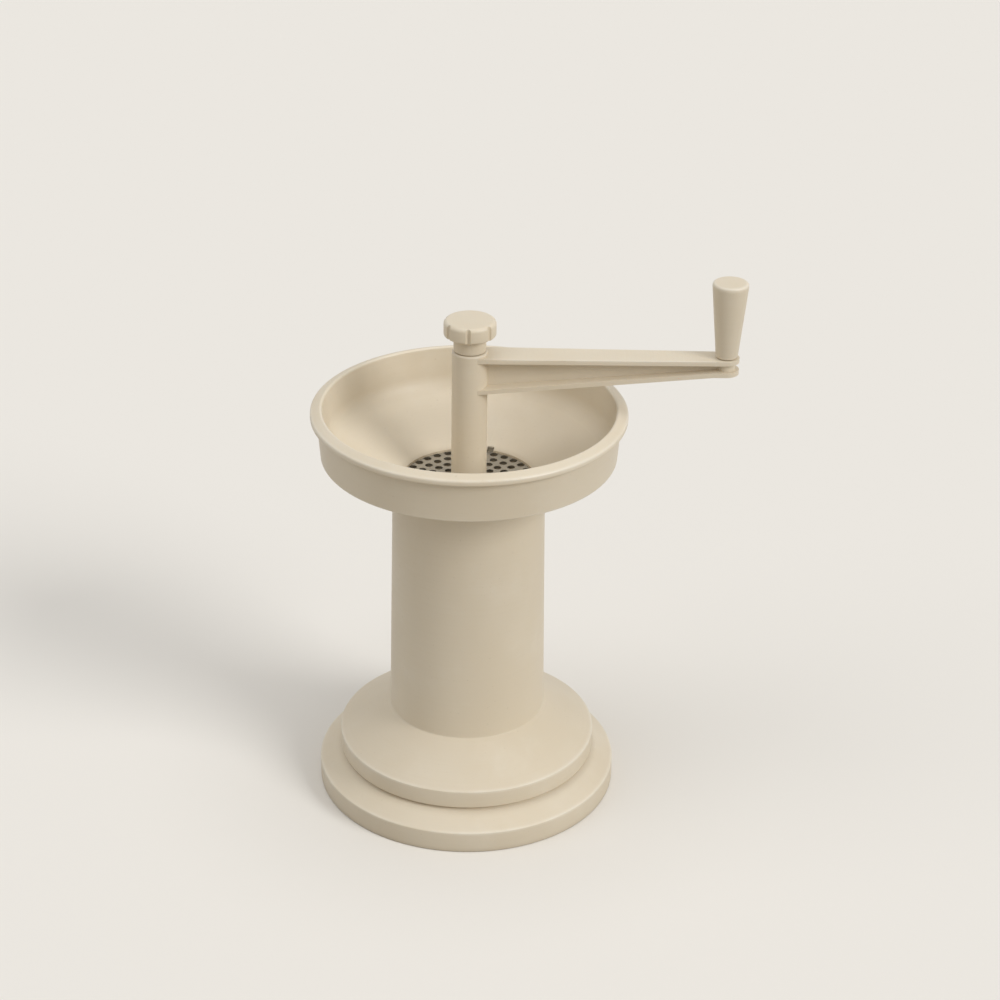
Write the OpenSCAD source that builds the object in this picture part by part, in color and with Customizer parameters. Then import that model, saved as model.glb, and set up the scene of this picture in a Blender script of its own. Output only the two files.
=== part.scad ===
// Hand-turned baby food grinder. A bowl, tube and bell moulding slides down over a piston on a round base,
// and a crank turns a cutter under the strainer at the bottom of the bowl.

/* [Base] */
// Radius of the base at the table
base_r = 58.5; // [56:0.5:62]
// Height of the base's upright edge
base_edge_h = 8.6; // [7:0.2:10]
// Slope of the base's cone in degrees
base_slope = 29; // [27:0.5:31]
// Outer radius of the flat shoulder that carries the housing
shoulder_r = 33; // [32:0.5:35]
// Length of the piston head that fits the bore
head_h = 16; // [10:1:30]
// How much slimmer the post is than the piston head, in radius
post_relief = 1.2; // [0.6:0.1:2]
// Number of stiffening ribs under the base's cone
rib_n = 8; // [4:1:12]
// Thickness of one rib
rib_t = 1.6; // [1.2:0.1:2.4]
// Depth of a rib below the cone
rib_h = 4; // [2:0.2:4]

/* [Housing] */
// Radius of the bore that the piston slides in
bore_r = 27; // [26.6:0.1:27.4]
// Thickness of the moulded walls
wall = 2.4; // [2:0.1:2.8]
// Tube wall under the bowl
tube_top_t = 2; // [1.8:0.1:2.6]
// Tube wall at the bell
tube_foot_t = 3.4; // [3:0.1:4]
// How far the base stands out beyond the bell, in radius
bell_in = 8.3; // [6:0.1:10]
// Height of the bell's upright edge
bell_edge_h = 7.2; // [6:0.2:9]
// Slope of the bell's cone in degrees
bell_slope = 31; // [29:0.5:33]
// Open gap between the bell's edge and the base's cone
bell_gap = 1.5; // [1:0.1:2.5]

/* [Bowl] */
// Height of the strainer's upper face above the table
strainer_z = 130.6; // [124:0.2:138]
// Radius of the round opening over the strainer
open_r = 25.6; // [25.2:0.1:25.8]
// Thickness of the ledge that the strainer lies under
ledge_t = 0.9; // [0.8:0.1:1.4]
// Slope of the bowl's floor in degrees
floor_slope = 26.5; // [25.5:0.1:27]
// Radius of the bowl's lip
rim_r = 59.7; // [58.5:0.1:61]
// How far the lip stands out over the skirt
lip_over = 2.4; // [1.6:0.1:3]
// Height of the lip's upright edge
lip_edge_h = 2.2; // [2:0.1:3]
// How much the lip rises from its edge to the bowl's mouth
lip_rise = 1.8; // [1.2:0.1:2.4]
// Height of the bowl's mouth above the strainer
bowl_h = 31.5; // [31:0.1:33]
// Height of the skirt below the lip
skirt_h = 16; // [15.6:0.1:16.4]
// Draft of the skirt, in radius
skirt_draft = 1.3; // [0.6:0.1:1.6]
// Radius of the soft corner between floor and wall
bowl_corner = 9; // [5:0.5:11]

/* [Strainer] */
// Thickness of the strainer disc
disc_t = 1; // [0.8:0.1:1.4]
// Diameter of one strainer hole
hole_d = 3; // [2.4:0.1:3.2]
// Radius of the outer ring of holes
ring_r = 24; // [23.6:0.1:24]
// Distance between rings of holes
ring_step = 4.3; // [4.2:0.05:4.4]
// Holes in the outer ring
ring1_n = 33; // [26:1:36]
// Holes in the second ring
ring2_n = 27; // [20:1:29]
// Holes in the third ring
ring3_n = 23; // [16:1:24]
// Holes in the inner ring
ring4_n = 16; // [10:1:16]
// Angle of the locating key in degrees
key_angle = 72; // [0:1:359]
// Width of the locating key
key_w = 2.2; // [1.6:0.1:3]
// Height of the key above the disc
key_h = 1.9; // [1.4:0.1:2.4]
// Radius of the bush's flange
bush_flange_r = 8.2; // [7.8:0.1:8.6]
// Thickness of the bush's flange
bush_flange_t = 1; // [0.8:0.1:1.6]
// Number of snap lugs that hold the disc up
lug_n = 3; // [3:1:6]
// How far a lug stands out of the bore
lug_out = 0.55; // [0.4:0.05:0.6]

/* [Crank] */
// Distance from the crank's axis to the grip's axis
crank_l = 95.2; // [88:0.2:100]
// Radius of the hub
hub_r = 6.7; // [6.5:0.1:7.2]
// Height of the hub's top above the bowl's mouth
hub_rise = 22.5; // [19:0.5:27]
// Drop from the hub's top to the arm's top
arm_drop = 1.2; // [0.8:0.1:2]
// Depth of the arm at the hub
arm_root_h = 14.6; // [12:0.2:16]
// Depth of the arm at the grip
arm_tip_h = 6.4; // [5.4:0.2:7.4]
// Width of the arm at the hub
arm_root_w = 12.2; // [11:0.2:12.8]
// Width of the arm at the grip
arm_tip_w = 9.7; // [9:0.1:10.6]
// Thickness of the arm's upper and lower flanges
flange_t = 1.7; // [1.4:0.1:2]
// Thickness of the web between them
web_t = 2; // [1.6:0.1:3]
// Wall of the boss round the grip's pin
boss_t = 1.4; // [1.2:0.1:1.8]

/* [Grip] */
// Radius of the grip at the arm
grip_foot_r = 4.1; // [4:0.1:4.7]
// Radius of the grip at its top
grip_top_r = 6.7; // [6:0.1:7.5]
// Length of the grip
grip_h = 29.5; // [26:0.1:36]
// Radius of the steel pin in the grip
pin_r = 2; // [1.6:0.1:2.2]
// Length of the pin above the arm
pin_up = 21; // [18:0.5:22]

/* [Thumb knob] */
// Radius of the knob's cap
knob_r = 9.8; // [9:0.1:11]
// Height of the knob's cap
knob_cap_h = 6; // [5:0.1:8]
// Height of the knob's neck
knob_neck_h = 6.1; // [4:0.1:8]
// Radius of the knob's neck
knob_neck_r = 6.1; // [5:0.1:6.4]
// Number of flutes round the cap
flute_n = 7; // [5:1:10]
// Radius of one flute
flute_r = 0.95; // [0.7:0.05:1.2]
// Angle of the first flute in degrees
flute_angle = -93; // [-180:1:180]
// Radius of the screw
screw_r = 2; // [1.8:0.1:2.2]
// Length of the screw below the hub's top
screw_l = 44; // [40:1:46]

/* [Cutter] */
// Side of the stem's square
square_w = 6.4; // [6.2:0.1:6.5]
// Height of the square above the strainer
square_h = 26; // [22:1:27]
// Radius swept by the cutter's wings
blade_r = 25.2; // [22:0.1:25.6]
// Width of a wing
blade_w = 12; // [9:0.5:13]
// Thickness of the cutter's steel
blade_t = 1; // [0.8:0.1:1.2]
// Pitch of the wings in degrees
blade_pitch = 9; // [6:0.5:10]
// Radius of the stem's flange that carries the cutter
carrier_r = 10; // [9.6:0.1:11]
// Height of the open food chamber between piston and strainer
chamber_h = 11.6; // [11:0.1:20]

/* [Fits] */
// Gap between the piston head and the bore, in radius
piston_gap = 0.3; // [0.2:0.05:0.5]
// Running fit of shafts in their bores, in radius
run_gap = 0.06; // [0.03:0.01:0.08]
// Gap between faces that turn or slide past each other
face_gap = 0.3; // [0.2:0.05:0.4]
// Gap round the square stem in its socket
socket_gap = 0.1; // [0.05:0.01:0.15]
// Gap round the strainer and its key
disc_gap = 0.15; // [0.1:0.05:0.3]
// Least gap between the cutter's wings and the snap lugs
blade_gap = 0.5; // [0.3:0.05:1]

/* [Hidden] */
$fn = 96;
shoulder_z = base_edge_h + (base_r - shoulder_r) * tan(base_slope);
crown_z = strainer_z - chamber_h;
tube_bore = max(bore_r, blade_r + blade_gap + lug_out);
piston_r = tube_bore - piston_gap;
post_r = piston_r - post_relief;
post_in_r = post_r - wall;
under_z = shoulder_z - wall;
under_r = base_r - (under_z - base_edge_h + wall / cos(base_slope)) / tan(base_slope);
bell_r = base_r - bell_in;
bell_z = base_edge_h + bell_in * tan(base_slope) + bell_gap;
bell_top_z = bell_z + bell_edge_h;
tube_foot_r = tube_bore + tube_foot_t;
tube_top_r = tube_bore + tube_top_t;
tube_foot_z = bell_top_z + (bell_r - tube_foot_r) * tan(bell_slope);
collar_r = tube_bore + wall;
floor_z = strainer_z + ledge_t;
mouth_z = strainer_z + bowl_h;
lip_top_z = mouth_z - lip_rise;
lip_z = lip_top_z - lip_edge_h;
skirt_r = rim_r - lip_over;
skirt_foot_r = skirt_r - skirt_draft;
skirt_foot_z = lip_z - skirt_h;
wall_k = skirt_draft / skirt_h;
corner_r = (skirt_foot_r - wall + wall_k * (floor_z - open_r * tan(floor_slope) - skirt_foot_z))
    / (1 - wall_k * tan(floor_slope));
mouth_r = skirt_foot_r - wall + wall_k * (mouth_z - skirt_foot_z);
apron_r = skirt_foot_r - wall - 0.2;
ring_count = [ring1_n, ring2_n, ring3_n, ring4_n];
ring_turn = [1.6, 8.7, 14, 0];
disc_r = tube_bore - disc_gap;
disc_z = strainer_z - disc_t;
hub_z = strainer_z + bush_flange_t + face_gap;
hub_top_z = mouth_z + hub_rise;
arm_z = hub_top_z - arm_drop;
journal_r = square_w * 0.72;
bush_r = journal_r + run_gap + 1.5;
carrier_top_z = disc_z - face_gap - 1.7;
carrier_t = 2;
rivet_at = carrier_r - 2;
rivet_r = 1.2;
rivet_head_r = 1.9;
pin_head_r = pin_r + 0.9;
pin_head_t = 0.9;
grip_z = arm_z + face_gap;
knob_z = hub_top_z + face_gap;
cap_z = knob_z + knob_neck_h;
screw_top_z = cap_z + knob_cap_h - 2;
screw_z = hub_top_z - screw_l;

// Height of the base's cone underside at a radius
function cone_under(r) = base_edge_h + (base_r - r) * tan(base_slope) - wall / cos(base_slope);
// Height of the bell's inner face at a radius
function bell_under(r) = bell_top_z + (bell_r - r) * tan(bell_slope) - wall / cos(bell_slope);
// Height of the bowl's floor at a radius
function floor_at(r) = floor_z + (r - open_r) * tan(floor_slope);
// Height of the bowl's underside at a radius
function bowl_under(r) = floor_at(r) - wall / cos(floor_slope);

function flat(q) = [q[0], q[1]];
function unit(v) = v / norm(v);
// Half of the angle at a corner
function half(a, b, c) = acos(unit(a - b) * unit(c - b)) / 2;
// Points of the arc that rounds a corner
function arc(a, b, c, r) =
    let (
        h = half(a, b, c),
        u = unit(a - b),
        v = unit(c - b),
        mid = b + unit(u + v) * r / sin(h),
        from = b + u * r / tan(h) - mid,
        to = b + v * r / tan(h) - mid,
        sweep = 180 - 2 * h,
        n = r < 0.7 ? 3 : r < 3 ? 5 : 9)
    [for (i = [0 : n]) mid + (from * sin(sweep * (1 - i / n)) + to * sin(sweep * i / n)) / sin(sweep)];

// Outline of points [x, y, corner radius], with arcs at its corners
module outline(p) {
    n = len(p);
    polygon([
        for (i = [0 : n - 1])
            each (p[i][2] > 0
                ? arc(flat(p[(i + n - 1) % n]), flat(p[i]), flat(p[(i + 1) % n]), p[i][2])
                : [flat(p[i])])]);
}

// Base with its cone, shoulder, post and piston head in one moulding, hollow and open underneath
module plunger_base() {
    color("#d8cbb0") {
        rotate_extrude() outline([
            [0, crown_z - wall, 0],
            [post_in_r, crown_z - wall, 2],
            [post_in_r, under_z, 1],
            [under_r, under_z, 0],
            [base_r - wall, cone_under(base_r - wall), 1.2],
            [base_r - wall, 0, 0.4],
            [base_r, 0, 0.6],
            [base_r, base_edge_h, 0.7],
            [shoulder_r, shoulder_z, 0.6],
            [post_r, shoulder_z, 0],
            [post_r, crown_z - head_h, 0],
            [piston_r, crown_z - head_h + post_relief, 0],
            [piston_r, crown_z, 1],
            [0, crown_z, 0]]);
        for (i = [0 : rib_n - 1])
            rotate([90, 0, (i + 0.5) * 360 / rib_n])
                translate([0, 0, -rib_t / 2])
                    linear_extrude(rib_t)
                        polygon([
                            [under_r - 3, under_z - 1],
                            [under_r, under_z - rib_h],
                            [base_r - wall / 2, cone_under(base_r - wall / 2) - rib_h],
                            [base_r - wall / 2, cone_under(base_r - wall / 2) + wall / 2],
                            [under_r, under_z + wall / 2],
                            [under_r - 3, under_z + wall / 2]]);
    }
}

// Bowl, tube and bell in one moulding, with the strainer's ledge, key slot and snap lugs
module housing() {
    color("#e0d4ba")
        difference() {
            union() {
                rotate_extrude() outline([
                    [tube_bore, shoulder_z, 0.3],
                    [collar_r, shoulder_z, 0.3],
                    [collar_r, bell_under(collar_r), 1.5],
                    [bell_r - wall, bell_under(bell_r - wall), 1.2],
                    [bell_r - wall, bell_z, 0.4],
                    [bell_r, bell_z, 0.6],
                    [bell_r, bell_top_z, 0.5],
                    [tube_foot_r, tube_foot_z, 0.8],
                    [tube_top_r, bowl_under(tube_top_r), 2],
                    [apron_r, bowl_under(apron_r), 0.3],
                    [apron_r, skirt_foot_z, 0.2],
                    [skirt_foot_r, skirt_foot_z, 0.8],
                    [skirt_r, lip_z, 0.6],
                    [rim_r, lip_z, 0.7],
                    [rim_r, lip_top_z, 0.9],
                    [mouth_r, mouth_z, 0.9],
                    [corner_r, floor_at(corner_r), bowl_corner],
                    [open_r, floor_z, 0.3],
                    [open_r, strainer_z, 0],
                    [tube_bore, strainer_z, 0]]);
                for (i = [0 : lug_n - 1])
                    rotate([0, 0, i * 360 / lug_n])
                        rotate_extrude(angle = 24)
                            polygon([
                                [tube_bore + 0.5, disc_z],
                                [tube_bore - lug_out, disc_z],
                                [tube_bore - lug_out, disc_z - 0.5],
                                [tube_bore + 0.5, disc_z - 2.2]]);
            }
            rotate([0, 0, key_angle])
                translate([open_r - 1.5, -key_w / 2 - disc_gap, strainer_z])
                    cube([disc_r + disc_gap - open_r + 1.5, key_w + 2 * disc_gap, key_h + 4]);
        }
}

// Flat steel disc with rings of holes, a bush hole and one key turned up at its edge
module strainer_disc() {
    color("#9a9c9e")
        difference() {
            union() {
                translate([0, 0, disc_z]) cylinder(r = disc_r, h = disc_t);
                rotate([0, 0, key_angle])
                    translate([disc_r - 1.1, -key_w / 2, disc_z])
                        cube([1, key_w, disc_t + key_h]);
            }
            translate([0, 0, disc_z - 1]) cylinder(r = bush_r, h = disc_t + 2);
            for (k = [0 : 3])
                for (i = [0 : ring_count[k] - 1])
                    rotate([0, 0, ring_turn[k] + i * 360 / ring_count[k]])
                        translate([ring_r - k * ring_step, 0, disc_z - 1])
                            cylinder(d = hole_d, h = disc_t + 2, $fn = 24);
        }
}

// Flanged bearing bush in the middle of the strainer
module strainer_bush() {
    color("#cfc7b4")
        rotate_extrude() outline([
            [journal_r + run_gap, disc_z, 0],
            [bush_r, disc_z, 0],
            [bush_r, strainer_z, 0],
            [bush_flange_r, strainer_z, 0.2],
            [bush_flange_r, strainer_z + bush_flange_t, 0.3],
            [journal_r + run_gap, strainer_z + bush_flange_t, 0.2]]);
}

// Side outline of the arm's recess between its flanges
module recess() {
    root_z = arm_z - arm_root_h + flange_t;
    tip_z = arm_z - arm_tip_h + flange_t;
    polygon([
        [0, root_z],
        [crank_l - arm_tip_w / 2, tip_z],
        [crank_l + arm_tip_w, tip_z],
        [crank_l + arm_tip_w, arm_z - flange_t],
        [0, arm_z - flange_t]]);
}

// Hub and arm in one moulding: a tapering I-section arm with a round end for the grip
module crank_arm() {
    color("#e0d4ba")
        difference() {
            union() {
                difference() {
                    intersection() {
                        rotate([90, 0, 0])
                            translate([0, 0, -arm_root_w])
                                linear_extrude(2 * arm_root_w)
                                    polygon([
                                        [0, arm_z - arm_root_h],
                                        [crank_l - arm_tip_w / 2, arm_z - arm_tip_h],
                                        [crank_l + arm_tip_w, arm_z - arm_tip_h],
                                        [crank_l + arm_tip_w, arm_z],
                                        [0, arm_z]]);
                        translate([0, 0, hub_z])
                            linear_extrude(hub_top_z - hub_z)
                                union() {
                                    polygon([
                                        [0, -arm_root_w / 2],
                                        [crank_l, -arm_tip_w / 2],
                                        [crank_l, arm_tip_w / 2],
                                        [0, arm_root_w / 2]]);
                                    translate([crank_l, 0]) circle(d = arm_tip_w);
                                }
                    }
                    for (s = [-1, 1])
                        translate([0, s * (web_t / 2 + arm_root_w / 2), 0])
                            rotate([90, 0, 0])
                                translate([0, 0, -arm_root_w / 2])
                                    linear_extrude(arm_root_w) recess();
                    translate([crank_l, -arm_tip_w, arm_z - arm_tip_h + flange_t])
                        cube([arm_tip_w, 2 * arm_tip_w, arm_tip_h - 2 * flange_t]);
                }
                translate([crank_l, 0, arm_z - arm_tip_h]) cylinder(r = pin_r + boss_t, h = arm_tip_h);
                rotate_extrude() outline([
                    [0, hub_z, 0],
                    [hub_r, hub_z, 0.5],
                    [hub_r, hub_top_z, 0.7],
                    [0, hub_top_z, 0]]);
            }
            translate([0, 0, hub_z - 1]) cylinder(r = screw_r + run_gap, h = hub_top_z - hub_z + 2);
            translate([-square_w / 2 - socket_gap, -square_w / 2 - socket_gap, hub_z - 1])
                cube([square_w + 2 * socket_gap, square_w + 2 * socket_gap, square_h + 3]);
            translate([0, 0, hub_z - 1]) cylinder(r = journal_r + face_gap, h = 2);
            translate([crank_l, 0, arm_z - arm_tip_h - 1]) cylinder(r = pin_r, h = arm_tip_h + 2);
        }
}

// Steel pin that holds the grip: a head under the arm, a plain shank and a barb at its top
module grip_pin() {
    color("#b8babd")
        translate([crank_l, 0, 0])
            rotate_extrude() outline([
                [0, arm_z - arm_tip_h - pin_head_t, 0],
                [pin_head_r, arm_z - arm_tip_h - pin_head_t, 0.4],
                [pin_head_r, arm_z - arm_tip_h, 0.1],
                [pin_r, arm_z - arm_tip_h, 0],
                [pin_r, arm_z + pin_up - 2.4, 0],
                [pin_r + 0.7, arm_z + pin_up - 2, 0],
                [pin_r - 0.8, arm_z + pin_up, 0],
                [0, arm_z + pin_up, 0]]);
}

// Tapered grip that turns on the pin, with a flat top and a chamber for the pin's barb
module crank_grip() {
    color("#e6dbc4")
        translate([crank_l, 0, 0])
            rotate_extrude() outline([
                [pin_r + run_gap, grip_z, 0],
                [grip_foot_r, grip_z, 0.5],
                [grip_top_r, grip_z + grip_h - 1.6, 2],
                [grip_top_r - 0.1, grip_z + grip_h, 0.9],
                [0, grip_z + grip_h, 0],
                [0, arm_z + pin_up + 0.8, 0],
                [pin_r + 1.1, arm_z + pin_up + 0.8, 0.4],
                [pin_r + 1.1, arm_z + pin_up - 3, 0],
                [pin_r + run_gap, arm_z + pin_up - 3, 0]]);
}

// Fluted thumb knob with a plain neck and a blind hole for the screw
module thumb_knob() {
    color("#e6dbc4")
        difference() {
            rotate_extrude() outline([
                [0, knob_z, 0],
                [knob_neck_r, knob_z, 0.3],
                [knob_neck_r, cap_z, 0.8],
                [knob_r, cap_z, 0.7],
                [knob_r, cap_z + knob_cap_h, 1.6],
                [0, cap_z + knob_cap_h, 0]]);
            for (i = [0 : flute_n - 1])
                rotate([0, 0, flute_angle + i * 360 / flute_n])
                    translate([knob_r + 0.1, 0, cap_z - 1])
                        cylinder(r = flute_r, h = knob_cap_h + 2, $fn = 32);
            translate([0, 0, knob_z - 1]) cylinder(r = screw_r, h = screw_top_z - knob_z + 1);
        }
}

// Steel screw fixed in the knob; it runs down the hub into the cutter's stem
module knob_screw() {
    color("#b8babd")
        rotate_extrude() outline([
            [0, screw_z, 0],
            [screw_r - 0.6, screw_z, 0],
            [screw_r, screw_z + 0.6, 0],
            [screw_r, screw_top_z, 0],
            [0, screw_top_z, 0]]);
}

// Cutter's stem: carrier flange, collar, round journal and a square that drives it, bored for the screw
module cutter_stem() {
    color("#cfc7b4")
        difference() {
            union() {
                translate([0, 0, carrier_top_z - carrier_t]) cylinder(r = carrier_r, h = carrier_t);
                translate([0, 0, carrier_top_z])
                    cylinder(r = bush_r, h = disc_z - face_gap - carrier_top_z);
                translate([0, 0, carrier_top_z]) cylinder(r = journal_r, h = hub_z + 0.6 - carrier_top_z);
                translate([-square_w / 2, -square_w / 2, carrier_top_z])
                    cube([square_w, square_w, strainer_z + square_h - carrier_top_z]);
            }
            translate([0, 0, screw_z - 4])
                cylinder(r = screw_r + run_gap, h = screw_l);
            for (s = [-1, 1])
                translate([0, s * rivet_at, carrier_top_z - carrier_t - 1])
                    cylinder(r = rivet_r, h = carrier_t + 2, $fn = 24);
        }
}

// Steel cutter: a round plate with two pitched wings that sweep close under the strainer
module cutter_blade() {
    color("#aeb1b4")
        difference() {
            union() {
                translate([0, 0, carrier_top_z]) cylinder(r = carrier_r, h = blade_t);
                intersection() {
                    for (s = [0, 180])
                        rotate([0, 0, s])
                            translate([0, 0, disc_z - face_gap - blade_w / 2 * sin(blade_pitch)])
                                rotate([blade_pitch, 0, 0])
                                    translate([bush_r + 1, -blade_w / 2, -blade_t])
                                        cube([blade_r, blade_w, blade_t]);
                    translate([0, 0, disc_z - blade_w]) cylinder(r = blade_r, h = blade_w);
                }
            }
            translate([0, 0, disc_z - blade_w]) cylinder(r = bush_r, h = blade_w);
            translate([0, 0, disc_z - blade_w])
                cylinder(r = carrier_r + 0.2, h = carrier_top_z - disc_z + blade_w);
            for (s = [-1, 1])
                translate([0, s * rivet_at, carrier_top_z - 1])
                    cylinder(r = rivet_r, h = blade_t + 2, $fn = 24);
        }
}

// Two rivets that hold the cutter to its stem
module blade_rivets() {
    color("#b8babd")
        for (s = [-1, 1])
            translate([0, s * rivet_at, 0])
                rotate_extrude($fn = 32) outline([
                    [0, carrier_top_z - carrier_t - 0.6, 0],
                    [rivet_head_r, carrier_top_z - carrier_t - 0.6, 0.3],
                    [rivet_head_r, carrier_top_z - carrier_t, 0],
                    [rivet_r, carrier_top_z - carrier_t, 0],
                    [rivet_r, carrier_top_z + blade_t, 0],
                    [rivet_head_r, carrier_top_z + blade_t, 0],
                    [rivet_head_r, carrier_top_z + blade_t + 0.5, 0.3],
                    [0, carrier_top_z + blade_t + 0.5, 0]]);
}

plunger_base();
housing();
strainer_disc();
strainer_bush();
crank_arm();
grip_pin();
crank_grip();
thumb_knob();
knob_screw();
cutter_stem();
cutter_blade();
blade_rivets();
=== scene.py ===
import math

import bmesh
import bpy
from mathutils import Matrix, Vector


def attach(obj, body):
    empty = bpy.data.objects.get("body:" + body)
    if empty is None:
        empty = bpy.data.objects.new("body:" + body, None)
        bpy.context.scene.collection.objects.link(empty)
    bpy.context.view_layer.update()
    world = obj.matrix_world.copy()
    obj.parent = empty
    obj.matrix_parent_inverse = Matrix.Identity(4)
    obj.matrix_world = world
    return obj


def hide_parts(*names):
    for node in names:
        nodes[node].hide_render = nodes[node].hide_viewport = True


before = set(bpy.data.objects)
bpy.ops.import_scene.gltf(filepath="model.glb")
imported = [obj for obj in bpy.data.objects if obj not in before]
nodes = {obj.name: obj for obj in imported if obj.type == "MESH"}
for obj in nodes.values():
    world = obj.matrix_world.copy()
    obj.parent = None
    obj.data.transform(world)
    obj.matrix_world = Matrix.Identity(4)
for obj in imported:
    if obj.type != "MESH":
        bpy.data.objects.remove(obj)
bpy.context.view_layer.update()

MM = 0.001

# Sizes of the part's source, in millimetres and degrees

# Base and piston
base_r = 58.5
base_edge_h = 8.6
base_slope = 29
shoulder_r = 33
head_h = 16
post_relief = 1.2
piston_gap = 0.3
chamber_h = 11.6
rib_n = 8
rib_t = 1.6
rib_h = 4
rib_in = 3
rib_end_h = 1

# Tube and bell
bore_r = 27
wall = 2.4
tube_top_t = 2
tube_foot_t = 3.4
bell_in = 8.3
bell_edge_h = 7.2
bell_slope = 31
bell_gap = 1.5

# Bowl
strainer_z = 130.6
open_r = 25.6
ledge_t = 0.9
floor_slope = 26.5
rim_r = 59.7
lip_over = 2.4
lip_edge_h = 2.2
lip_rise = 1.8
bowl_h = 31.5
skirt_h = 16
skirt_draft = 1.3
bowl_corner = 9
apron_in = 0.2

# Seat of the strainer
disc_t = 1
disc_gap = 0.15
key_angle = 72
key_w = 2.2
key_h = 1.9
lug_n = 3
lug_out = 0.55
lug_sweep = 24
lug_root = 0.5
lug_face_h = 0.5
lug_h = 2.2
slot_in = 1.5
slot_up = 4

# Crank and grip
crank_l = 95.2
hub_r = 6.7
hub_rise = 22.5
arm_drop = 1.2
arm_root_w = 12.2
arm_tip_w = 9.7
grip_foot_r = 4.1
grip_top_r = 6.7
grip_h = 29.5
grip_crown_h = 1.6
grip_crown_in = 0.1
pin_r = 2
pin_up = 21
barb_room = 1.1
barb_below = 3
barb_above = 0.8
run_gap = 0.06
face_gap = 0.3

# Thumb knob
knob_r = 9.8
knob_cap_h = 6
knob_neck_h = 6.1
knob_neck_r = 6.1
screw_r = 2
screw_cover = 2
flute_n = 7
flute_r = 0.95
flute_angle = -93
flute_out = 0.1


def tan(degrees):
    return math.tan(math.radians(degrees))


def cos(degrees):
    return math.cos(math.radians(degrees))


def sin(degrees):
    return math.sin(math.radians(degrees))


# Places that follow from the sizes

shoulder_z = base_edge_h + (base_r - shoulder_r) * tan(base_slope)
crown_z = strainer_z - chamber_h
piston_r = bore_r - piston_gap
post_r = piston_r - post_relief
under_z = shoulder_z - wall
under_r = base_r - (under_z - base_edge_h + wall / cos(base_slope)) / tan(base_slope)
bell_r = base_r - bell_in
bell_z = base_edge_h + bell_in * tan(base_slope) + bell_gap
bell_top_z = bell_z + bell_edge_h
tube_foot_r = bore_r + tube_foot_t
tube_top_r = bore_r + tube_top_t
tube_foot_z = bell_top_z + (bell_r - tube_foot_r) * tan(bell_slope)
collar_r = bore_r + wall
floor_z = strainer_z + ledge_t
disc_z = strainer_z - disc_t
mouth_z = strainer_z + bowl_h
lip_top_z = mouth_z - lip_rise
lip_z = lip_top_z - lip_edge_h
skirt_r = rim_r - lip_over
skirt_foot_r = skirt_r - skirt_draft
skirt_foot_z = lip_z - skirt_h
wall_k = skirt_draft / skirt_h
corner_r = (skirt_foot_r - wall + wall_k * (floor_z - open_r * tan(floor_slope) - skirt_foot_z)) / (
    1 - wall_k * tan(floor_slope))
mouth_r = skirt_foot_r - wall + wall_k * (mouth_z - skirt_foot_z)
apron_r = skirt_foot_r - wall - apron_in
hub_top_z = mouth_z + hub_rise
arm_z = hub_top_z - arm_drop
grip_z = arm_z + face_gap
grip_top_z = grip_z + grip_h
grip_crown_r = grip_top_r - grip_crown_in
barb_r = pin_r + barb_room
barb_z = arm_z + pin_up - barb_below
barb_top_z = arm_z + pin_up + barb_above
knob_z = hub_top_z + face_gap
cap_z = knob_z + knob_neck_h
cap_top_z = cap_z + knob_cap_h
screw_top_z = cap_top_z - screw_cover
flute_at = knob_r + flute_out


def cone_under(r):
    """Height of the underside of the base's cone at a radius."""
    return base_edge_h + (base_r - r) * tan(base_slope) - wall / cos(base_slope)


def bell_under(r):
    """Height of the underside of the bell's cone at a radius."""
    return bell_top_z + (bell_r - r) * tan(bell_slope) - wall / cos(bell_slope)


def floor_at(r):
    """Height of the bowl's floor at a radius."""
    return floor_z + (r - open_r) * tan(floor_slope)


def bowl_under(r):
    """Height of the underside of the bowl's floor at a radius."""
    return floor_at(r) - wall / cos(floor_slope)


# Shader sockets as values


class Value:
    """A socket in a tree of shader nodes. Arithmetic on it adds Math nodes to that tree."""

    def __init__(self, home, socket):
        self.home, self.socket = home, socket

    def math(self, operation, *others):
        return self.home.node("ShaderNodeMath", {"operation": operation}, self, *others)

    def __add__(self, other):
        return self.math("ADD", other)

    def __sub__(self, other):
        return self.math("SUBTRACT", other)

    def __mul__(self, other):
        return self.math("MULTIPLY", other)

    def __pow__(self, other):
        return self.math("POWER", other)

    def __abs__(self):
        return self.math("ABSOLUTE")

    def __rsub__(self, other):
        return self.home.node("ShaderNodeMath", {"operation": "SUBTRACT"}, other, self)

    __radd__ = __add__
    __rmul__ = __mul__

    def either(self, other):
        """The greater of two values."""
        return self.math("MAXIMUM", other)

    def ramp(self, low, high):
        """0 below low, 1 above high, smooth between."""
        return self.home.node("ShaderNodeMapRange", {"interpolation_type": "SMOOTHSTEP"}, self, low, high)

    def near(self, place, width):
        """1 at a place, fading to 0 at a width from it."""
        return 1 - abs(self - place).ramp(0, width)


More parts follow.
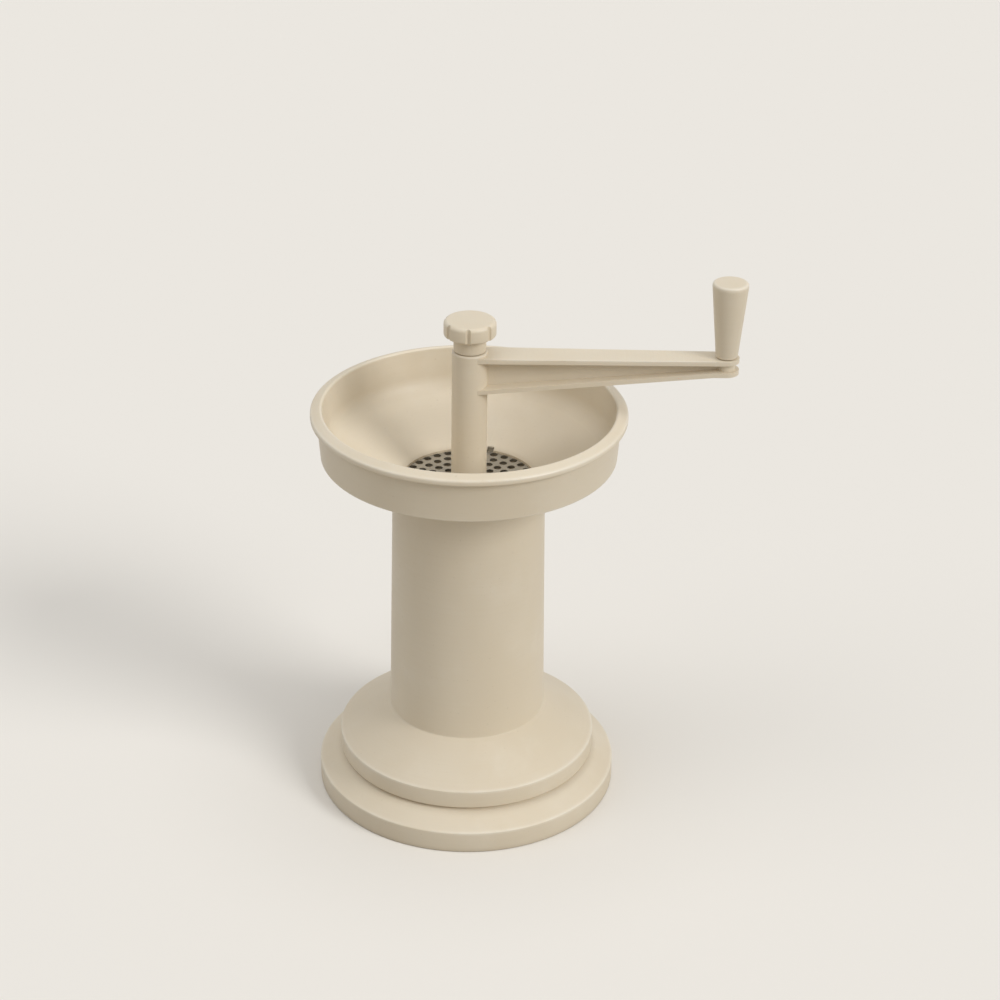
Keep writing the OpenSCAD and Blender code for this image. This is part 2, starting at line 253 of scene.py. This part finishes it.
class Shading:
    """A tree of shader nodes."""

    def __init__(self, tree):
        self.tree = tree

    def join(self, socket, value):
        """Links a value to a socket, or sets the socket to a number or colour."""
        if isinstance(value, Value):
            self.tree.links.new(value.socket, socket)
        elif value is not None:
            socket.default_value = value

    def node(self, kind, settings, *values, out=0, **named):
        """Adds a node. Values go to its sockets in order, None skips one, and named ones go by name."""
        made = self.tree.nodes.new(kind)
        for key, value in settings.items():
            setattr(made, key, value)
        for socket, value in zip(made.inputs, values):
            self.join(socket, value)
        for key, value in named.items():
            self.join(made.inputs[key.replace("_", " ")], value)
        return Value(self, made.outputs[out])

    def blend(self, share, first, second):
        """A share of the second colour over the first."""
        skipped = [None] * 5
        return self.node("ShaderNodeMix", {"data_type": "RGBA"}, share, *skipped, first, second, out=2)

    def shown(self):
        """1 for rays that show the surface, straight or in metal or glass, and 0 for the light it gives."""
        rays = ["Is Camera Ray", "Is Glossy Ray", "Is Transmission Ray"]
        straight, metal, glass = [self.node("ShaderNodeLightPath", {}, out=ray) for ray in rays]
        return straight.either(metal).either(glass)


class Finish(Shading):
    """A material on one Principled shader."""

    def __init__(self, name, **sockets):
        self.material = bpy.data.materials.new(name)
        self.material.use_nodes = True
        super().__init__(self.material.node_tree)
        self.put(**sockets)

    def put(self, **sockets):
        """Sets or links sockets of the shader by name."""
        shader = self.tree.nodes["Principled BSDF"]
        for key, value in sockets.items():
            self.join(shader.inputs[key.replace("_", " ")], value)

    def place(self):
        """Places on the piece, in metres of the shared frame."""
        return self.node("ShaderNodeTexCoord", {}, out="Object")

    def axes(self, where):
        """x, y and z of a place, in millimetres."""
        split = self.node("ShaderNodeSeparateXYZ", {}, where).socket.node
        return [Value(self, axis) * 1000 for axis in split.outputs]

    def noise(self, where, scale, detail=2.0, roughness=0.5):
        return self.node("ShaderNodeTexNoise", {}, Vector=where, Scale=scale, Detail=detail,
                         Roughness=roughness)

    def stretch(self, where, x, y, z):
        return self.node("ShaderNodeMapping", {}, Vector=where, Scale=(x, y, z))

    def bump(self, height, distance, strength):
        return self.node("ShaderNodeBump", {}, Height=height, Distance=distance, Strength=strength)


def srgb(r, g, b):
    """A colour as it shows on a screen, in the shader's linear numbers."""
    part = [c / 255 for c in (r, g, b)]
    return (*[c / 12.92 if c <= 0.04045 else ((c + 0.055) / 1.055) ** 2.4 for c in part], 1.0)


# Finishes

IVORY = srgb(224, 212, 190)
IVORY_WARM = srgb(218, 204, 179)
IVORY_PALE = srgb(229, 219, 200)
IVORY_RUBBED = srgb(236, 228, 212)
# Colour of dust and specks, also used as painted shade in creases
IVORY_DUST_AND_SHADE = srgb(181, 165, 139)
NYLON = srgb(221, 214, 197)
NYLON_DULL = srgb(206, 197, 176)
PUNCHED_STEEL = srgb(178, 173, 163)
BRIGHT_STEEL = srgb(176, 177, 178)
TURNED_STEEL = srgb(184, 185, 186)


def bands(r, z, places):
    """Marks round an axis, each at (radius, height, width)."""
    return sum(z.near(high, wide) * r.near(at_r, wide) for at_r, high, wide in places)


def ivory(name, shade_and_dust_creases=(), edges=(), long_edges=None, slide_r=None, seam=True, at=0.0):
    """Satin ivory moulding round a vertical axis at x: colour drift, polish rings, scuffs and specks.

    Creases get painted shade with some dust, edges are rubbed pale and smooth, and a sliding face has
    streaks along its height.
    """
    f = Finish(name, IOR=1.49, Specular_IOR_Level=0.45, Subsurface_Weight=0.1, Subsurface_Scale=1.4 * MM,
               Subsurface_Radius=(1.0, 0.8, 0.55))
    where = f.place()
    x, y, z = f.axes(where)
    r = ((x - at) * (x - at) + y * y) ** 0.5
    flow = f.noise(f.stretch(where, 22, 22, 9), 1.0, 3.0)
    cloud = f.noise(where, 34, 4.0, 0.62)
    grain = f.noise(where, 2600, 3.0, 0.6)
    rings = f.node("ShaderNodeTexNoise", {"noise_dimensions": "1D"}, W=r * 1.7 + z * 0.8, Scale=1.0,
                   Detail=3.0)
    scratches = f.noise(f.stretch(where, 700, 90, 260), 1.0, 3.0, 0.7).ramp(0.6, 0.78)
    scuff = scratches * cloud.ramp(0.45, 0.62)
    speck = f.noise(where, 950, 1.0).ramp(0.73, 0.79)
    colour = f.blend(flow.ramp(0.36, 0.68) * 0.6, IVORY, IVORY_WARM)
    colour = f.blend(cloud.ramp(0.5, 0.78) * 0.5, colour, IVORY_PALE)
    colour = f.blend(rings.ramp(0.4, 0.7) * 0.1, colour, IVORY_WARM)
    colour = f.blend(speck * 0.2, colour, IVORY_DUST_AND_SHADE)
    rough = 0.36 + flow * 0.06 + rings * 0.07 + scuff * 0.14 + grain * 0.03
    height = grain * 0.3 + cloud * 0.4 + rings * 0.35 - scuff * 0.3
    # Painted shade mixed with dust: the colour darkens in the given creases, where shade falls
    if shade_and_dust_creases:
        shade_and_dust = (bands(r, z, shade_and_dust_creases) * (0.35 + cloud * 0.5)).ramp(0.0, 0.9)
        colour = f.blend(shade_and_dust * 0.4, colour, IVORY_DUST_AND_SHADE)
    if edges:
        rub = bands(r, z, edges)
        if long_edges:
            rub = rub + long_edges(x, y, z)
        rub = rub * cloud.ramp(0.34, 0.58)
        colour = f.blend(rub * 0.6, colour, IVORY_RUBBED)
        rough = rough - rub * 0.1
    if slide_r:
        upright = f.noise(f.stretch(where, 900, 900, 12), 1.0, 3.0, 0.6)
        streak = upright.ramp(0.5, 0.74) * r.near(slide_r, 2.5)
        colour = f.blend(streak * 0.25, colour, IVORY_DUST_AND_SHADE)
        rough = rough - streak * 0.08
        height = height - streak * 0.4
    if seam:
        height = height + abs(y).near(0.0, 0.2) * 1.3
    f.put(Base_Color=colour, Roughness=rough, Normal=f.bump(height, 0.07 * MM, 0.55))
    return f.material


def steel(name, tone, roughness, lathe=False):
    """Bright or punched steel with fine working marks, round the axis where it was turned on a lathe."""
    f = Finish(name, Metallic=1.0)
    where = f.place()
    grained = f.stretch(where, 40, 40, 6000) if lathe else f.stretch(where, 3200, 160, 400)
    marks = f.noise(grained, 1.0, 3.0, 0.65)
    stain = f.noise(where, 90, 4.0, 0.6)
    darker = tuple(c * 0.72 for c in tone[:3]) + (1.0,)
    colour = f.blend(stain.ramp(0.42, 0.74) * 0.6, tone, darker)
    colour = f.blend(marks.ramp(0.35, 0.7) * 0.25, colour, darker)
    f.put(Base_Color=colour, Roughness=roughness + marks * 0.14 + stain * 0.08)
    f.put(Normal=f.bump(marks, 0.03 * MM, 0.35))
    return f.material


def nylon(name):
    """Unpainted nylon: pale, slightly waxy, with turning rings."""
    f = Finish(name, IOR=1.53, Subsurface_Weight=0.12, Subsurface_Scale=2 * MM)
    where = f.place()
    haze = f.noise(where, 140, 3.0)
    rings = f.noise(f.stretch(where, 30, 30, 3000), 1.0, 2.0)
    f.put(Base_Color=f.blend(haze.ramp(0.35, 0.7), NYLON, NYLON_DULL))
    f.put(Roughness=0.42 + rings * 0.12, Normal=f.bump(rings, 0.04 * MM, 0.3))
    return f.material


# Meshes

SHARP = math.radians(32)
EASED = math.radians(38)


def arc(a, b, c, r):
    """Points of the arc that rounds corner b."""
    a, b, c = Vector(a), Vector(b), Vector(c)
    u, v = (a - b).normalized(), (c - b).normalized()
    h = math.acos(max(-1.0, min(1.0, u.dot(v)))) / 2
    mid = b + (u + v).normalized() * r / math.sin(h)
    first, last = b + u * r / math.tan(h) - mid, b + v * r / math.tan(h) - mid
    sweep = math.pi - 2 * h
    n = 4 if r < 0.7 else 7 if r < 3 else 14
    return [mid + (first * math.sin(sweep * (1 - i / n)) + last * math.sin(sweep * i / n)) / math.sin(sweep)
            for i in range(n + 1)]


def rounded(points):
    """Closed profile of (r, z, corner radius), with arcs at its corners."""
    out = []
    for i, (r, z, round_by) in enumerate(points):
        if round_by:
            out += arc(points[i - 1][:2], (r, z), points[(i + 1) % len(points)][:2], round_by)
        else:
            out.append(Vector((r, z)))
    return out


def smooth(data):
    """Shades a mesh smooth apart from its sharp edges."""
    data.polygons.foreach_set("use_smooth", [True] * len(data.polygons))
    data.set_sharp_from_angle(angle=SHARP)


def settle(name, mesh):
    """Puts a finished mesh in the scene."""
    bmesh.ops.recalc_face_normals(mesh, faces=mesh.faces)
    data = bpy.data.meshes.new(name)
    mesh.to_mesh(data)
    mesh.free()
    smooth(data)
    made = bpy.data.objects.new(name, data)
    bpy.context.scene.collection.objects.link(made)
    return made


def spin(name, points, at=0, steps=192, shape=None):
    """A turned solid: a closed profile spun round the vertical at x. shape gives a radius at an angle."""
    mesh = bmesh.new()
    rings = []
    for r, z in rounded(points):
        if r < 1e-6:
            rings.append([mesh.verts.new((at * MM, 0, z * MM))])
            continue
        ring = []
        for k in range(steps):
            t = 2 * math.pi * k / steps
            out = shape(r, t) if shape else r
            ring.append(mesh.verts.new(((at + out * math.cos(t)) * MM, out * math.sin(t) * MM, z * MM)))
        rings.append(ring)
    for low, high in zip(rings, rings[1:] + rings[:1]):
        for k in range(steps):
            corners = [low[k % len(low)], low[(k + 1) % len(low)],
                       high[(k + 1) % len(high)], high[k % len(high)]]
            face = list(dict.fromkeys(corners))
            if len(face) > 2:
                mesh.faces.new(face)
    return settle(name, mesh)


def loft(mesh, rings):
    """Adds a closed solid through rings of points in millimetres."""
    made = [[mesh.verts.new((x * MM, y * MM, z * MM)) for x, y, z in ring] for ring in rings]
    n = len(made[0])
    for low, high in zip(made, made[1:]):
        for i in range(n):
            j = (i + 1) % n
            mesh.faces.new([low[i], low[j], high[j], high[i]])
    mesh.faces.new(made[0])
    mesh.faces.new(made[-1])


def sectors(name, profile, turns, sweep, steps=10):
    """Solids made by turning a profile of (r, z) through a sweep, one from each turn, in degrees."""
    mesh = bmesh.new()
    for turn in turns:
        angles = [turn + sweep * k / steps for k in range(steps + 1)]
        loft(mesh, [[(r * cos(t), r * sin(t), z) for r, z in profile] for t in angles])
    return settle(name, mesh)


def slabs(name, profile, thick, turns):
    """Upright slabs with a profile of (r, z), each on its own radius, at the turns in degrees."""
    mesh = bmesh.new()
    sides = (-thick / 2, thick / 2)
    for turn in turns:
        c, s = cos(turn), sin(turn)
        loft(mesh, [[(r * c - y * s, r * s + y * c, z) for r, z in profile] for y in sides])
    return settle(name, mesh)


def work(made, tool, operation):
    """Cuts a tool's shape out of a moulding, or joins it on, and discards the tool."""
    step = made.modifiers.new("work", "BOOLEAN")
    step.object, step.operation, step.solver = tool, operation, "EXACT"
    done = bpy.data.meshes.new_from_object(made.evaluated_get(bpy.context.evaluated_depsgraph_get()))
    made.modifiers.clear()
    made.data = done
    smooth(done)
    bpy.data.objects.remove(tool)


def dress(made, finish, body, node):
    """A modelled moulding gets its finish, rides a body and stands for its solid."""
    made.data.materials.clear()
    made.data.materials.append(finish)
    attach(made, body)
    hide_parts(node)


def paint(node, finish, soften=0.0):
    """A carried-over solid gets its finish, and its sharp edges are eased."""
    made = nodes[node]
    for slot in made.material_slots:
        slot.link = "OBJECT"
        slot.material = finish
    if soften:
        ease = made.modifiers.new("eased edges", "BEVEL")
        ease.width, ease.segments, ease.limit_method = soften * MM, 2, "ANGLE"
        ease.angle_limit, ease.harden_normals = EASED, False


# Base and piston

plunger = spin("plunger_moulding", [
    (0, crown_z - wall, 0),
    (post_r - wall, crown_z - wall, 2),
    (post_r - wall, under_z, 1),
    (under_r, under_z, 0),
    (base_r - wall, cone_under(base_r - wall), 1.2),
    (base_r - wall, 0, 0.4),
    (base_r, 0, 0.6),
    (base_r, base_edge_h, 0.7),
    (shoulder_r, shoulder_z, 0.6),
    (post_r, shoulder_z, 0.6),
    (post_r, crown_z - head_h, 0),
    (piston_r, crown_z - head_h + post_relief, 0),
    (piston_r, crown_z, 1),
    (0, crown_z, 0)])
rib_r = base_r - wall / 2
rib_turns = [(i + 0.5) * 360 / rib_n for i in range(rib_n)]
work(plunger, slabs("ribs", [
    (under_r - rib_in, under_z - rib_end_h),
    (under_r, under_z - rib_h),
    (rib_r, cone_under(rib_r) - rib_h),
    (rib_r, cone_under(rib_r) + wall / 2),
    (under_r, under_z + wall / 2),
    (under_r - rib_in, under_z + wall / 2)], rib_t, rib_turns), "UNION")
# Painted shade with some dust on the base: beneath the bell's edge and round the foot
base_shade_and_dust = [(bell_r, bell_z - 1.2, 3.0), (base_r, 0, 3.0)]
base_edges = [(base_r, base_edge_h, 1.5), (piston_r, crown_z, 1.5), (shoulder_r, shoulder_z, 1.2)]
dress(plunger, ivory("ivory_base", base_shade_and_dust, base_edges, slide_r=piston_r), "base", "plunger_base")

# Bowl, tube and bell

housing = spin("bowl_tube_bell", [
    (bore_r, shoulder_z, 0.3),
    (collar_r, shoulder_z, 0.3),
    (collar_r, bell_under(collar_r), 1.5),
    (bell_r - wall, bell_under(bell_r - wall), 1.2),
    (bell_r - wall, bell_z, 0.4),
    (bell_r, bell_z, 0.6),
    (bell_r, bell_top_z, 0.5),
    (tube_foot_r, tube_foot_z, 0.8),
    (tube_top_r, bowl_under(tube_top_r), 2),
    (apron_r, bowl_under(apron_r), 0.3),
    (apron_r, skirt_foot_z, 0.2),
    (skirt_foot_r, skirt_foot_z, 0.8),
    (skirt_r, lip_z, 0.6),
    (rim_r, lip_z, 0.7),
    (rim_r, lip_top_z, 0.9),
    (mouth_r, mouth_z, 0.9),
    (corner_r, floor_at(corner_r), bowl_corner),
    (open_r, floor_z, 0.3),
    (open_r, strainer_z, 0),
    (bore_r, strainer_z, 0)])
# The lugs' ends and the slot's walls stay off the turned mesh's own edges, so that the cuts come out clean
lug_shift = 0.2
slot_clear = 0.1
slot_below = 0.5
lug_turns = [i * 360 / lug_n + lug_shift for i in range(lug_n)]
work(housing, sectors("lugs", [
    (bore_r + lug_root, disc_z),
    (bore_r - lug_out, disc_z),
    (bore_r - lug_out, disc_z - lug_face_h),
    (bore_r + lug_root, disc_z - lug_h)], lug_turns, lug_sweep), "UNION")
slot_in_r = open_r - slot_in
slot_out_r = bore_r - slot_clear
slot_z = strainer_z - slot_below
slot_top_z = strainer_z + key_h + slot_up
work(housing, slabs("key_slot", [
    (slot_in_r, slot_z),
    (slot_out_r, slot_z),
    (slot_out_r, slot_top_z),
    (slot_in_r, slot_top_z)], key_w + 2 * disc_gap, [key_angle]), "DIFFERENCE")
# Painted shade with some dust: under the lip and round the edge of the bowl's floor
housing_shade_and_dust = [(skirt_r, lip_z, 1.6), (open_r, floor_z, 3.0)]
housing_edges = [(rim_r, lip_top_z, 1.4), (mouth_r, mouth_z, 1.4), (bell_r, bell_top_z, 1.5),
                 (skirt_foot_r, skirt_foot_z, 1.3)]
dress(housing, ivory("ivory_housing", housing_shade_and_dust, housing_edges), "housing", "housing")

# Grip

grip = spin("turning_grip", [
    (pin_r + run_gap, grip_z, 0),
    (grip_foot_r, grip_z, 0.5),
    (grip_top_r, grip_top_z - grip_crown_h, 2),
    (grip_crown_r, grip_top_z, 0.9),
    (0, grip_top_z, 0),
    (0, barb_top_z, 0),
    (barb_r, barb_top_z, 0.4),
    (barb_r, barb_z, 0),
    (pin_r + run_gap, barb_z, 0)], at=crank_l, steps=96)
grip_edges = [(grip_crown_r, grip_top_z, 1.6), (grip_foot_r, grip_z, 1.2)]
dress(grip, ivory("ivory_grip", edges=grip_edges, seam=False, at=crank_l), "grip", "crank_grip")

# Thumb knob


def fluted(r, t):
    """Radius of the knob at an angle, with the flutes cut in."""
    step = 2 * math.pi / flute_n
    off = (t - math.radians(flute_angle) + step / 2) % step - step / 2
    across = flute_at * math.sin(off)
    if abs(across) >= flute_r:
        return r
    return min(r, flute_at * math.cos(off) - math.sqrt(flute_r ** 2 - across ** 2))


knob = spin("fluted_knob", [
    (0, screw_top_z, 0),
    (screw_r, screw_top_z, 0),
    (screw_r, knob_z, 0),
    (knob_neck_r, knob_z, 0.3),
    (knob_neck_r, cap_z, 0.8),
    (knob_r, cap_z, 0.7),
    (knob_r, cap_top_z, 1.6),
    (0, cap_top_z, 0)], steps=420, shape=fluted)
# Painted shade with some dust on the neck, under the knob's cap
knob_shade_and_dust = [(knob_neck_r, cap_z, 1.6)]
knob_edges = [(knob_r, cap_top_z, 2.0), (knob_r, cap_z, 1.2)]
dress(knob, ivory("ivory_knob", knob_shade_and_dust, knob_edges, seam=False), "knob", "thumb_knob")

# Carried-over solids

rub_from, rub_full = 8, 12


def flange_edges(x, y, z):
    """The two long edges on top of the arm, which narrows from its root to its tip."""
    half_w = arm_root_w / 2 - x * ((arm_root_w - arm_tip_w) / 2 / crank_l)
    past_hub = x.ramp(rub_from, rub_full)
    return (abs(y) - half_w).near(0, 1.1) * z.near(arm_z, 1.1) * past_hub


crank_edges = [(hub_r, hub_top_z, 1.3)]
paint("crank_arm", ivory("ivory_crank", edges=crank_edges, long_edges=flange_edges), soften=0.35)
paint("strainer_disc", steel("punched_steel", PUNCHED_STEEL, roughness=0.34), soften=0.14)
paint("strainer_bush", nylon("nylon_bush"), soften=0.15)
paint("cutter_stem", nylon("nylon_stem"), soften=0.15)
paint("cutter_blade", steel("bright_steel", BRIGHT_STEEL, roughness=0.26), soften=0.12)
turned_steel = steel("turned_steel", TURNED_STEEL, roughness=0.24, lathe=True)
for node in ("blade_rivets", "grip_pin", "knob_screw"):
    paint(node, turned_steel)

# Floor and light

FLOOR_LIT = srgb(182, 176, 166)
FLOOR_SHOWN = srgb(239, 235, 228)
BACKDROP = srgb(237, 233, 226)
SKY_LEVEL = 0.39

floor_mesh = bmesh.new()
bmesh.ops.create_grid(floor_mesh, x_segments=1, y_segments=1, size=5.0)
floor = settle("floor", floor_mesh)
floor_finish = Finish("pale_floor", Roughness=0.85, Specular_IOR_Level=0.1)
floor_finish.put(Base_Color=floor_finish.blend(floor_finish.shown(), FLOOR_LIT, FLOOR_SHOWN))
floor.data.materials.append(floor_finish.material)

world = bpy.data.worlds.new("studio")
world.use_nodes = True
bpy.context.scene.world = world
sky = Shading(world.node_tree)
sky.tree.nodes.remove(sky.tree.nodes["Background"])
soft_light = sky.node("ShaderNodeBackground", {}, (1, 1, 1, 1), SKY_LEVEL)
backdrop = sky.node("ShaderNodeBackground", {}, BACKDROP, 1.0)
mixed = sky.node("ShaderNodeMixShader", {}, sky.shown(), soft_light, backdrop)
sky.join(sky.tree.nodes["World Output"].inputs["Surface"], mixed)


def lamp(name, turn, height, spread, level):
    """Even light from a direction, in degrees. Level is the share of white on a surface that faces it."""
    light = bpy.data.lights.new(name, "SUN")
    light.angle, light.energy = math.radians(spread), level * math.pi
    made = bpy.data.objects.new(name, light)
    made.rotation_euler = (math.radians(90 - height), 0, math.radians(turn + 90))
    bpy.context.scene.collection.objects.link(made)


lamp("key", turn=-34, height=32, spread=24, level=0.46)
lamp("overhead", turn=-60, height=88, spread=50, level=0.24)
lamp("fill", turn=-162, height=46, spread=40, level=0.12)

# Camera at the photograph's angle

tilt = math.radians(27.48)
roll = math.radians(0.85)
reach = 955 * MM
target = Vector((11.99, 0, 122.25)) * MM

back = Vector((0, -math.cos(tilt), math.sin(tilt)))
side = Vector((1, 0, 0))
rise = back.cross(side)
right = side * math.cos(roll) + rise * math.sin(roll)
upward = rise * math.cos(roll) - side * math.sin(roll)
view = bpy.data.cameras.new("view")
view.lens, view.sensor_width, view.sensor_fit, view.clip_start = 90, 36, "HORIZONTAL", 0.01
camera = bpy.data.objects.new("camera", view)
turned = Matrix((right, upward, back)).transposed().to_4x4()
camera.matrix_world = Matrix.Translation(target + back * reach) @ turned
bpy.context.scene.collection.objects.link(camera)
bpy.context.scene.camera = camera
bpy.context.scene.view_settings.view_transform = "Standard"
